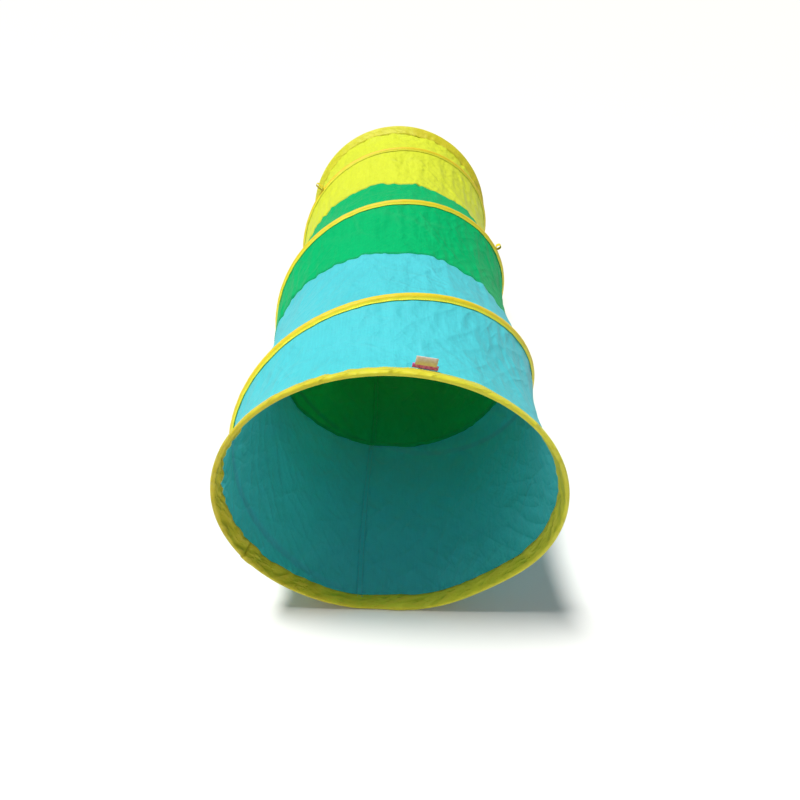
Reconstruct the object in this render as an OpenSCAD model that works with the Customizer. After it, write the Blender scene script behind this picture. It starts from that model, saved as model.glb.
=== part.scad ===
// Pop-up agility tunnel: a fabric tube held open by one sprung wire coil.
// Lengths are in millimetres. The tunnel lies along +Y with its mouth at -Y, and stands on z = 0.
// The origin is on the floor, below the middle of the tunnel.
// A place on the wall is given by an angle, an inset and a distance from the mouth. The angle starts
// at the floor and turns towards -X. The inset is the depth below the outermost surface.

/* [Tunnel] */
// Length over both end hoops
tunnel_length = 1075; // [900:5:1300]
// Outer radius of the mouth and of the coil
tunnel_r = 240; // [220:5:280]
// How much larger the radius of the rear end is
rear_flare = 5; // [0:1:12]
// How far the weight of the tunnel presses its round sections flat on the floor
floor_sag = 5; // [4:0.5:8]
// How far the top of the mouth leans back
front_lean = 14; // [0:2:30]

/* [Wire] */
// Diameter of the spring wire
wire_d = 3; // [2.5:0.25:3]
// Distance from each end to the middle of the end hoop's wire
hoop_y = 3.2; // [3.2:0.1:4]
// Wall of the crimped ferrules
ferrule_wall = 0.8; // [0.6:0.1:0.8]
// Length of the crimped ferrules
ferrule_length = 16; // [10:1:24]

/* [Fabric] */
// Thickness of the panels
fabric_t = 0.8; // [0.6:0.1:1]
// Thickness of the folded tapes that cover the wire
tape_t = 0.8; // [0.6:0.1:0.8]
// Width of the tape over the coil
casing_w = 16; // [12:1:18]
// Width of the hem around each end hoop
hem_w = 22; // [20:1:30]
// Distance from the mouth to the seam between the first and second panels
first_seam_y = 378; // [366:2:378]
// Distance from the mouth to the seam between the second and third panels
second_seam_y = 730; // [724:2:730]
// Width of the sewn seam allowances
seam_w = 10; // [8:1:12]

/* [Labels and loops] */
// Width of the folded care label
label_w = 25; // [20:1:30]
// Height of the folded care label
label_h = 16; // [14:1:20]
// Width of the coloured strip at the label's foot
strip_w = 30; // [26:1:34]
// Height of the coloured strip
strip_h = 6; // [5:1:8]
// Length of each tie loop out from the coil
loop_length = 12; // [11:1:16]
// Width of the tie loop's ribbon
loop_w = 10; // [8:1:12]
// Angle of the right tie loop, counted along the coil from the mouth
right_loop_angle = 598; // [590:2:606]
// Angle of the left tie loop, counted along the coil from the mouth
left_loop_angle = 850; // [840:2:860]

/* [Hidden] */

// Full turns of the coil from the mouth to the rear end
turns = 3;

// Round sections are made of straight stretches that all pieces share, so neighbours stay parallel
sides = 48;
facet = 360 / sides;
wire_sides = 6;

// Gaps that keep neighbouring pieces from touching
gap = 0.3;
wire_gap = 0.2;
end_gap = 0.05; // degrees

// Insets of the layers, from the outside in
casing_inset = tape_t + wire_gap;
coil_wire_inset = casing_inset + wire_d / 2;
fabric_inset = casing_inset + wire_d + gap;
fabric_inner = fabric_inset + fabric_t;
allowance_inset = fabric_inner + gap;
allowance_inner = allowance_inset + 1.2;

// The hoop wire and the start of the coil lie side by side in the hem, in the ferrule
ferrule_r = wire_d / 2 + ferrule_wall;
hoop_inset = tape_t + wire_gap + ferrule_r;
side_gap = 0.2;
coil_start_y = hoop_y + wire_d + side_gap;
coil_first_angle = 0;
coil_last_angle = 360 * turns - 2 * facet;
pitch = (tunnel_length - 2 * coil_start_y) * 360 / (coil_last_angle - coil_first_angle);

// The rear flare grows over this length, and the mouth's lean starts above this height
flare_length = 60;
lean_start = 20;

// The panels reach this far from each end, into the fold of the hem
panel_edge_y = 12;
casing_first_angle = coil_first_angle + 3.5 * facet;
casing_last_angle = coil_last_angle - 3.5 * facet;

function outer_radius(y) =
    tunnel_r + rear_flare * min(1, max(0, (y - tunnel_length + flare_length) / flare_length));

function lean_back(z) = front_lean * max(0, z - lean_start) / (2 * tunnel_r - lean_start);

// Place on the wall. A place with leaned = 1 follows the lean of the mouth.
function wall_point(angle, inset, y, leaned = 0) =
    let (
        outer = outer_radius(y),
        r = outer - inset,
        z = max(outer - floor_sag - r * cos(angle), inset)
    )
    [-r * sin(angle), y - tunnel_length / 2 + leaned * lean_back(z), z];

// Place on the wall's straight stretch beside the floor, at a share of its width
function bottom_point(share, inset, y) =
    (1 - share) * wall_point(facet, inset, y) + share * wall_point(2 * facet, inset, y);

function coil_y(angle) =
    coil_start_y + pitch * (min(max(angle, coil_first_angle), coil_last_angle) - coil_first_angle) / 360;

function coil_angle(y) = coil_first_angle + 360 * (y - coil_start_y) / pitch;

// The coil wire lies deeper in the hems than it does under its own casing
function coil_inset(angle) =
    angle <= coil_first_angle || angle >= coil_last_angle ? hoop_inset : coil_wire_inset;

// Angles from one to another, with each shared stretch's end between them
function angles_between(first, last) = concat(
    [first],
    [for (k = [floor(first / facet) + 1 : ceil(last / facet) - 1]) k * facet],
    [last]
);

all_round = [for (k = [0 : sides - 1]) k * facet];

// Solid through rings of points, either closed on itself or with flat ends. A ring lists its outer
// side with growing Y and then its inner side with falling Y, each with the same number of points.
module skin(rings, closed) {
    n = len(rings[0]);
    m = len(rings);
    sides_faces = [
        for (i = [0 : m - (closed ? 1 : 2)], j = [0 : n - 1])
            let (a = i * n + j, b = i * n + (j + 1) % n, up = ((i + 1) % m - i) * n)
            each [[a, b, b + up], [a, b + up, a + up]]
    ];
    last = (m - 1) * n;
    end_faces = closed ? [] : [
        for (j = [0 : n / 2 - 2])
            let (a = j, b = j + 1, c = n - 2 - j, d = n - 1 - j)
            each [
                [c, b, a], [d, c, a],
                [last + a, last + b, last + c], [last + a, last + c, last + d]
            ]
    ];
    polyhedron(points = [for (ring = rings) each ring], faces = concat(sides_faces, end_faces));
}

// Hoop with a section given as [distance from the mouth, inset] points
module hoop(section, leaned = 0) {
    skin([for (angle = all_round) [for (p = section) wall_point(angle, p[1], p[0], leaned)]], true);
}

// Stretch of the coil with a section given as [distance along Y, inset] points from its middle
module coil(section, first, last, follows_wire = false) {
    skin([
        for (angle = angles_between(first, last)) [
            for (p = section)
                let (inset = p[1] + (follows_wire ? coil_inset(angle) : 0))
                wall_point(angle, inset, coil_y(angle) + p[0])
        ]
    ], false);
}

function round_section(y, inset) = [
    for (k = [0 : wire_sides - 1])
        let (angle = 360 * (k + 0.5) / wire_sides)
        [y + wire_d / 2 * cos(angle), inset + wire_d / 2 * sin(angle)]
];

// ---- Wire ----

module front_hoop_wire() {
    color("silver") hoop(round_section(hoop_y, hoop_inset), 1);
}

module rear_hoop_wire() {
    color("silver") hoop(round_section(tunnel_length - hoop_y, hoop_inset));
}

module coil_wire(first, last) {
    color("silver") coil(round_section(0, 0), first, last, follows_wire = true);
}

// Oval sleeve, crimped over the hoop wire and the end of the coil beside it, on one straight stretch
module ferrule(y, first_angle) {
    low = wall_point(first_angle, hoop_inset, y);
    high = wall_point(first_angle + facet, hoop_inset, y);
    half_apart = (wire_d + side_gap) / 2;
    color("gray")
        translate((low + high) / 2)
        rotate([0, atan2(low[0] - high[0], low[2] - high[2]), 0])
        linear_extrude(ferrule_length, center = true)
        difference() {
            union() {
                square([2 * ferrule_r, 2 * half_apart], center = true);
                for (side = [-1, 1]) translate([0, side * half_apart]) circle(ferrule_r, $fn = 32);
            }
            for (side = [-1, 1])
                translate([0, side * half_apart]) circle(wire_d / 2 + side_gap / 4, $fn = 32);
        }
}

module front_ferrule() {
    ferrule((hoop_y + coil_start_y) / 2, coil_first_angle - facet);
}

module rear_ferrule() {
    ferrule(tunnel_length - (hoop_y + coil_start_y) / 2, coil_last_angle);
}

// ---- Tapes ----

// Tape bridging the wire, with a flat sewn edge on each side
module coil_casing(first, last) {
    foot = fabric_inset - gap;
    top = foot - tape_t;
    half_w = casing_w / 2;
    color("gold") coil([
        [-half_w, top], [-2.9, top - 0.1], [-1.9, 0.9], [0, 0], [1.9, 0.9], [2.9, top - 0.1], [half_w, top],
        [half_w, foot], [2.5, foot], [1.7, casing_inset + 0.9], [0, casing_inset],
        [-1.7, casing_inset + 0.9], [-2.5, foot], [-half_w, foot]
    ], first, last);
}

// Folded band: it wraps the end hoop and holds the panel's edge between its two layers
function hem_section() =
    let (
        fold_in = 2 * tape_t + 2 * wire_gap + 2 * ferrule_r,
        over = fabric_inset - gap,
        under = fabric_inner + gap,
        fold_y = 10
    )
    [
        [0, fold_in - 2.2], [0, 2.2], [2, 0], [8, 0], [hem_w, over - tape_t],
        [hem_w, over], [8, tape_t], [2.3, tape_t], [tape_t, 2.5],
        [tape_t, fold_in - 2.5], [2.3, fold_in - tape_t], [fold_y, fold_in - tape_t], [hem_w, under],
        [hem_w, under + tape_t], [fold_y, fold_in], [2, fold_in]
    ];

module front_hem() {
    color("gold") hoop(hem_section(), 1);
}

module rear_hem() {
    section = hem_section();
    color("gold")
        hoop([for (k = [len(section) - 1 : -1 : 0]) [tunnel_length - section[k][0], section[k][1]]]);
}

// ---- Fabric ----

// Panel between distances given as [distance from the mouth] rings
module panel(stops, leaned = 0) {
    skin([
        for (angle = all_round)
            concat(
                [for (k = [0 : len(stops) - 1])
                    wall_point(angle, fabric_inset, stops[k], k == 0 ? leaned : 0)],
                [for (k = [len(stops) - 1 : -1 : 0])
                    wall_point(angle, fabric_inner, stops[k], k == 0 ? leaned : 0)]
            )
    ], true);
}

module teal_panel() {
    color("turquoise") panel([panel_edge_y, first_seam_y - gap / 2], 1);
}

module green_panel() {
    color("springgreen") panel([first_seam_y + gap / 2, second_seam_y - gap / 2]);
}

module yellow_panel() {
    color("greenyellow")
        panel([second_seam_y + gap / 2, tunnel_length - flare_length, tunnel_length - panel_edge_y]);
}

// Doubled and stitched allowance where two panels meet
module joining_seam(y) {
    hoop([
        [y - seam_w / 2, allowance_inset], [y + seam_w / 2, allowance_inset],
        [y + seam_w / 2, allowance_inner], [y - seam_w / 2, allowance_inner]
    ]);
}

module teal_green_seam() {
    color("seagreen") joining_seam(first_seam_y);
}

module green_yellow_seam() {
    color("yellowgreen") joining_seam(second_seam_y);
}

// Doubled and stitched allowance along the bottom, where a panel is closed to a tube
module bottom_seam(stops) {
    skin([
        for (y = stops) [
            bottom_point(0.3, allowance_inner, y), bottom_point(0.65, allowance_inner, y),
            bottom_point(0.65, allowance_inset, y), bottom_point(0.3, allowance_inset, y)
        ]
    ], false);
}

module teal_bottom_seam() {
    color("teal") bottom_seam([hem_w + gap, first_seam_y - seam_w / 2 - gap]);
}

module green_bottom_seam() {
    color("green") bottom_seam([first_seam_y + seam_w / 2 + gap, second_seam_y - seam_w / 2 - gap]);
}

module yellow_bottom_seam() {
    color("olive") bottom_seam([
        second_seam_y + seam_w / 2 + gap, tunnel_length - flare_length, tunnel_length - hem_w - gap
    ]);
}

// ---- Label and loops ----

label_angle = 189;
label_t = 1;
strip_t = 0.8;

// Frame on top of the hem's inner edge, with +Z outwards
module label_frame(behind_edge) {
    foot = wall_point(label_angle, fabric_inset - gap, hem_w + gap + behind_edge, 1);
    translate(foot) rotate([0, 180 + label_angle, 0]) children();
}

module care_label() {
    color("linen") label_frame(strip_t + gap)
        translate([-label_w / 2, 0, 0]) cube([label_w, label_t, label_h]);
}

module label_strip() {
    color("hotpink") label_frame(0)
        translate([-strip_w / 2, 0, 0]) cube([strip_w, strip_t, strip_h]);
}

// Ribbon folded into a loop, with both of its ends sewn down on the coil's casing
module tie_loop(angle) {
    half = 3.9;
    ribbon_t = 0.9;
    top = loop_length - half;
    center_z = tunnel_r - floor_sag;
    color("gold")
        translate([0, coil_y(angle) - tunnel_length / 2, center_z])
        rotate([0, 180 + angle, 0])
        translate([0, loop_w / 2, tunnel_r + gap])
        rotate([90, 0, 0])
        linear_extrude(loop_w)
        difference() {
            union() {
                translate([-half, 0]) square([2 * half, top]);
                translate([0, top]) circle(half, $fn = 32);
            }
            translate([-half + ribbon_t, ribbon_t]) square([2 * (half - ribbon_t), top - ribbon_t]);
            translate([0, top]) circle(half - ribbon_t, $fn = 32);
        }
}

module right_tie_loop() {
    tie_loop(right_loop_angle);
}

module left_tie_loop() {
    tie_loop(left_loop_angle);
}

// Angles at which the coil is divided between the moving stations
first_split = coil_angle(first_seam_y);
second_split = coil_angle(second_seam_y);

front_hoop_wire();
rear_hoop_wire();
coil_wire(coil_first_angle - facet, first_split - end_gap);  // coil_wire_1
coil_wire(first_split + end_gap, second_split - end_gap);  // coil_wire_2
coil_wire(second_split + end_gap, coil_last_angle + facet);  // coil_wire_3
front_ferrule();
rear_ferrule();
coil_casing(casing_first_angle, first_split - end_gap);  // coil_casing_1
coil_casing(first_split + end_gap, second_split - end_gap);  // coil_casing_2
coil_casing(second_split + end_gap, casing_last_angle);  // coil_casing_3
front_hem();
rear_hem();
teal_panel();
green_panel();
yellow_panel();
teal_green_seam();
green_yellow_seam();
teal_bottom_seam();
green_bottom_seam();
yellow_bottom_seam();
care_label();
label_strip();
right_tie_loop();
left_tie_loop();
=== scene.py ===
import math

import bpy
import numpy as np
from mathutils import Matrix, Vector


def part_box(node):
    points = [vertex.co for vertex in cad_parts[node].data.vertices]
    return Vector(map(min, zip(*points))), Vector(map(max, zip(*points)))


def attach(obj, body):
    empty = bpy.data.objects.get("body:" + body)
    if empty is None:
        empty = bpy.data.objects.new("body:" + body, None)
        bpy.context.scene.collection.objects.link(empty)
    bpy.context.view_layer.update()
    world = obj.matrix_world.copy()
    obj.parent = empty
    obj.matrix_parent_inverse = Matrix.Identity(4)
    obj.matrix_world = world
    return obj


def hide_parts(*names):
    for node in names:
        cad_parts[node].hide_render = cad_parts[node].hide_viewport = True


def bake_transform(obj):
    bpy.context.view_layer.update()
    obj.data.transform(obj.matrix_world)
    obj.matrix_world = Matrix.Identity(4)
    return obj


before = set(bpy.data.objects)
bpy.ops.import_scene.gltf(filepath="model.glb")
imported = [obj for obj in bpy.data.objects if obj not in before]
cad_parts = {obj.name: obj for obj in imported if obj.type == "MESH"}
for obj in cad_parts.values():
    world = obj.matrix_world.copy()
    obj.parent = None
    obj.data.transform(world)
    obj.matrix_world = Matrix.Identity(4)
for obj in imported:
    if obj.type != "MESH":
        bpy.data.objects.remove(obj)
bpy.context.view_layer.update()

# A pop-up agility tunnel. Lengths are in metres and angles in radians. The tunnel lies along +Y, with
# its mouth at the low end. A place on the wall is an angle, which starts at the floor and turns
# towards -X, an inset below the outermost surface, and a distance from the mouth.

# ---- Sizes from the frame ----

hem_low, hem_high = (np.array(corner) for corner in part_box("front_hem"))
rear_low, rear_high = (np.array(corner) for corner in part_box("rear_hem"))
RADIUS = hem_high[0]
SAG = 2 * RADIUS - hem_high[2]
REAR_FLARE = rear_high[0] - RADIUS
MOUTH_Y = hem_low[1]
LENGTH = rear_high[1] - MOUTH_Y
HEM_W = rear_high[1] - rear_low[1]
LEAN = hem_high[1] - hem_low[1] - HEM_W


def middle_y(node):
    """Distance from the mouth to the middle of a CAD node."""
    low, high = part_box(node)
    return (low[1] + high[1]) / 2 - MOUTH_Y


SEAM_1 = middle_y("teal_green_seam")
SEAM_2 = middle_y("green_yellow_seam")

# ---- The coil, as the CAD model has it ----

DEGREE = math.pi / 180
TURN = 2 * math.pi
COIL_START_Y = 0.0064
COIL_FIRST = 0.0
COIL_LAST = 1065 * DEGREE
PITCH = (LENGTH - 2 * COIL_START_Y) * TURN / (COIL_LAST - COIL_FIRST)
CASING_FIRST = 20 * DEGREE
CASING_LAST = 1046 * DEGREE
RIGHT_LOOP = 598 * DEGREE
LEFT_LOOP = 850 * DEGREE
WIRE_R = 0.0015

# ---- Layers ----

FABRIC_T = 0.0005
TAPE_T = 0.0007
HEM_T = 0.0006
HEM_GAP = 0.0002
# Over this length, the rear end flares out
FLARE_LENGTH = 0.060
# The mouth leans back above this height, and the lean fades out along the tunnel
LEAN_START = 0.020
LEAN_FADES_OVER = 0.140
# The panels' edges lie this far from each end, inside the hems
PANEL_EDGE = 0.012
# Inset of the cloth where the coil holds it, and how far it pulls in between two turns
COIL_SUPPORT = 0.0047
WAIST = 0.018
# Heights above the floor that the cloth and the tape keep
FLOOR_CLEAR = 0.0010
TAPE_CLEAR = 0.0001
# The tape over the coil: half its width, its width when flat, and how far its edges stand off the cloth
CASING_HALF = 0.008
CLOTH_FOOT = 0.00035
# The coil crosses free cloth only where it is this far out of the hems
CLEAR_OF_HEM = 0.004

# Where the mouth's hoop has not sprung out fully, at its lower right side
PRESSED_AT = -43 * DEGREE
PRESSED_SPREAD = 21 * DEGREE
PRESSED_REACH = 0.11
PRESSED_DEPTH = 0.010


TINY = 1e-9


def smooth_step(t):
    t = np.clip(t, 0, 1)
    return t * t * (3 - 2 * t)


def lean_back(z):
    """How far the mouth leans back at a height."""
    return LEAN * np.maximum(0, z - LEAN_START) / (2 * RADIUS - LEAN_START)


def pressed_in(angle, y):
    """How far the mouth's lower right side is pressed in."""
    turn = away_from(angle, PRESSED_AT)
    return PRESSED_DEPTH * np.exp(-(turn / PRESSED_SPREAD) ** 2 - (y / PRESSED_REACH) ** 2)


def wall(angle, inset, y, leaned=0.0):
    """Points on the wall. leaned is the share of the mouth's lean that they follow."""
    angle, inset, y, leaned = np.broadcast_arrays(angle, inset, y, leaned)
    outer = RADIUS + REAR_FLARE * smooth_step((y - LENGTH + FLARE_LENGTH) / FLARE_LENGTH)
    r = outer - inset - pressed_in(angle, y)
    round_z = outer - SAG - r * np.cos(angle)
    kink = 0.0012
    z = (round_z + inset + np.sqrt((round_z - inset) ** 2 + kink ** 2)) / 2
    return np.stack([-r * np.sin(angle), MOUTH_Y + y + leaned * lean_back(z), z], axis=-1)


def lean_at(angle):
    """How far the wall at an angle leans back at the mouth."""
    return lean_back(wall(angle, 0.0, 0.0)[..., 2])


def lean_share(v):
    """The share of the mouth's lean left at a distance from the mouth."""
    return 1 - smooth_step((v - HEM_W) / LEAN_FADES_OVER)


def away_from(angle, place):
    """Smallest turn between angles, without its sign."""
    return np.abs((angle - place + math.pi) % TURN - math.pi)


def flare_of(angle, rear):
    """The share of its flare that a hem has at an angle. It has none where the coil's wire leaves it."""
    wire_leaves = (-17 if rear else 12) * DEGREE
    return 1 - np.exp(-(away_from(angle, wire_leaves) / (17 * DEGREE)) ** 2)


# The outer and inner layer of a folded hem, as insets at distances from the fold to the sewn edge.
# STRAIGHT is the hem over the coil's wire, and the others are flared, because the cloth draws them in.
OUTER_S = (0.0000, 0.0003, 0.0012, 0.0028, 0.0050, 0.0076, 0.0105, 0.0135, 0.0165, 0.0195, 0.0222)
REAR_OUTER_S = (0.0000, 0.0003, 0.0012, 0.0028, 0.0048, 0.0072, 0.0098, 0.0126, 0.0156, 0.0188, 0.0222)
INNER_S = (0.0000, 0.0003, 0.0013, 0.0030, 0.0055, 0.0082, 0.0110, 0.0138, 0.0166, 0.0194, 0.0222)
STRAIGHT_OUTER = (0.0034, 0.0016, 0.0005, 0.0001, 0.0, -0.0001, -0.0003, -0.0005, -0.0006, -0.0006, -0.0005)
STRAIGHT_INNER = (0.0034, 0.0051, 0.0060, 0.0062, 0.0063, 0.0063, 0.0063, 0.0063, 0.0063, 0.0064, 0.0065)
FRONT_OUTER = (0.0034, 0.0016, 0.0005, 0.0001, 0.0002, 0.0009, 0.0023, 0.0041, 0.0060, 0.0078, 0.0092)
FRONT_INNER = (0.0034, 0.0051, 0.0062, 0.0068, 0.0071, 0.0076, 0.0084, 0.0093, 0.0101, 0.0107, 0.0111)
REAR_OUTER = (0.0034, 0.0016, 0.0005, 0.0001, 0.0004, 0.0015, 0.0033, 0.0055, 0.0078, 0.0099, 0.0118)
REAR_INNER = (0.0034, 0.0051, 0.0062, 0.0068, 0.0078, 0.0091, 0.0106, 0.0119, 0.0129, 0.0134, 0.0138)
HEM_EDGE = OUTER_S[-1]


def hem_profile(outer, rear, flare):
    """A hem layer's distances from the fold and its insets, for each share of its flare."""
    if outer:
        flared = (REAR_OUTER_S, REAR_OUTER) if rear else (OUTER_S, FRONT_OUTER)
        straight = (OUTER_S, STRAIGHT_OUTER)
    else:
        flared = (INNER_S, REAR_INNER if rear else FRONT_INNER)
        straight = (INNER_S, STRAIGHT_INNER)
    return [np.array(a) * (1 - flare) + np.array(b) * flare for a, b in zip(straight, flared)]


def hem_support(angle, rear):
    """Inset of the cloth where it leaves a hem, between the hem's two layers."""
    flared = (REAR_OUTER if rear else FRONT_OUTER)[-1] + HEM_T + HEM_GAP
    return COIL_SUPPORT + 0.0003 + (flared - COIL_SUPPORT - 0.0003) * flare_of(angle, rear)


def coil_y(angle):
    return COIL_START_Y + PITCH * (np.clip(angle, COIL_FIRST, COIL_LAST) - COIL_FIRST) / TURN


def coil_angle(y):
    return COIL_FIRST + TURN * (y - COIL_START_Y) / PITCH


def cloth_y(y, angle):
    """The distance along the cloth of a place at y from the mouth, before the mouth leaned back."""
    v = np.array(y, float)
    rounds_to_settle = 12
    for _ in range(rounds_to_settle):
        v = y - lean_at(angle) * lean_share(v)
    return v


# ---- Smooth noise ----


def noise(x, y, seed, period=0):
    """Value noise from -1 to 1. With a period, x repeats after that many cells."""
    cells = 512
    table = np.random.default_rng(seed).uniform(-1, 1, (cells, cells))
    x, y = np.broadcast_arrays(x, y)
    xi, yi = np.floor(x).astype(int), np.floor(y).astype(int)
    fx, fy = x - xi, y - yi
    fx, fy = fx ** 3 * (fx * (6 * fx - 15) + 10), fy ** 3 * (fy * (6 * fy - 15) + 10)
    x0, x1 = (xi % period, (xi + 1) % period) if period else (xi % cells, (xi + 1) % cells)
    y0, y1 = yi % cells, (yi + 1) % cells
    low = table[x0, y0] * (1 - fx) + table[x1, y0] * fx
    high = table[x0, y1] * (1 - fx) + table[x1, y1] * fx
    return low * (1 - fy) + high * fy


def ridges(x, y, seed, sharpness=5, period=0):
    """Narrow raised creases, from 0 to 1."""
    return (1 - np.abs(noise(x, y, seed, period))) ** sharpness


# ---- Camera, floor and light ----

# Focal length in millimetres, on a sensor 36 mm wide
FOCAL = 23.70
EYE = Vector((0.0053, MOUTH_Y - 1.840 * RADIUS, 3.418 * RADIUS - SAG))
PITCH_DOWN = 0.6947
YAW = -0.0085
ROLL = 0.030


def make_camera():
    """The camera at the photograph's viewing angle."""
    data = bpy.data.cameras.new("camera")
    data.lens = FOCAL
    data.sensor_width = 36
    camera = bpy.data.objects.new("camera", data)
    bpy.context.scene.collection.objects.link(camera)
    turn = (
        Matrix.Rotation(YAW, 4, "Z")
        @ Matrix.Rotation(math.pi / 2 - PITCH_DOWN, 4, "X")
        @ Matrix.Rotation(ROLL, 4, "Z")
    )
    camera.matrix_world = Matrix.Translation(EYE) @ turn
    bpy.context.scene.camera = camera


def add_light(name, kind, place, energy, colour, **settings):
    """A lamp at a place, aimed at the middle of the tunnel."""
    data = bpy.data.lights.new(name, kind)
    data.energy = energy
    data.color = colour
    for key, value in settings.items():
        setattr(data, key, value)
    light = bpy.data.objects.new(name, data)
    bpy.context.scene.collection.objects.link(light)
    light.location = place
    light.rotation_euler = (Vector((0, 0, RADIUS)) - Vector(place)).to_track_quat("-Z", "Y").to_euler()


def make_studio():
    """Sunlight from above, a weak fill light and sky, and a pale floor."""
    world = bpy.data.worlds.new("studio")
    world.use_nodes = True
    tree = world.node_tree
    glow = tree.nodes["Background"]
    glow.inputs["Color"].default_value = (0.95, 0.97, 1.0, 1)
    glow.inputs["Strength"].default_value = 0.22
    backdrop = tree.nodes.new("ShaderNodeBackground")
    backdrop.inputs["Color"].default_value = (0.93, 0.94, 0.95, 1)
    seen = tree.nodes.new("ShaderNodeLightPath")
    either = tree.nodes.new("ShaderNodeMixShader")
    tree.links.new(seen.outputs["Is Camera Ray"], either.inputs[0])
    tree.links.new(glow.outputs[0], either.inputs[1])
    tree.links.new(backdrop.outputs[0], either.inputs[2])
    tree.links.new(either.outputs[0], tree.nodes["World Output"].inputs["Surface"])
    bpy.context.scene.world = world
    add_light("key", "SUN", (-1.2, 0.35, 4.4), 3.45, (1.0, 0.985, 0.95), angle=0.20)
    add_light("fill", "AREA", (1.6, -2.6, 2.6), 5, (0.97, 0.98, 1.0), shape="DISK", size=2.4)

    mesh = bpy.data.meshes.new("floor")
    half = 60.0
    corners = [(-half, -half, 0), (half, -half, 0), (half, half, 0), (-half, half, 0)]
    mesh.from_pydata(corners, [], [(0, 1, 2, 3)])
    floor = bpy.data.objects.new("floor", mesh)
    floor.location.z = -0.0004
    bpy.context.scene.collection.objects.link(floor)
    material = bpy.data.materials.new("floor_pale")
    material.use_nodes = True
    shader = material.node_tree.nodes["Principled BSDF"]
    shader.inputs["Base Color"].default_value = (0.86, 0.86, 0.85, 1)
    shader.inputs["Roughness"].default_value = 0.75
    mesh.materials.append(material)


make_camera()
make_studio()
bpy.context.scene.view_settings.view_transform = "Standard"

# ---- Materials ----

# Blender's wave texture turns through this many radians for each unit of its scale
WAVE_UNIT = 20


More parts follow.
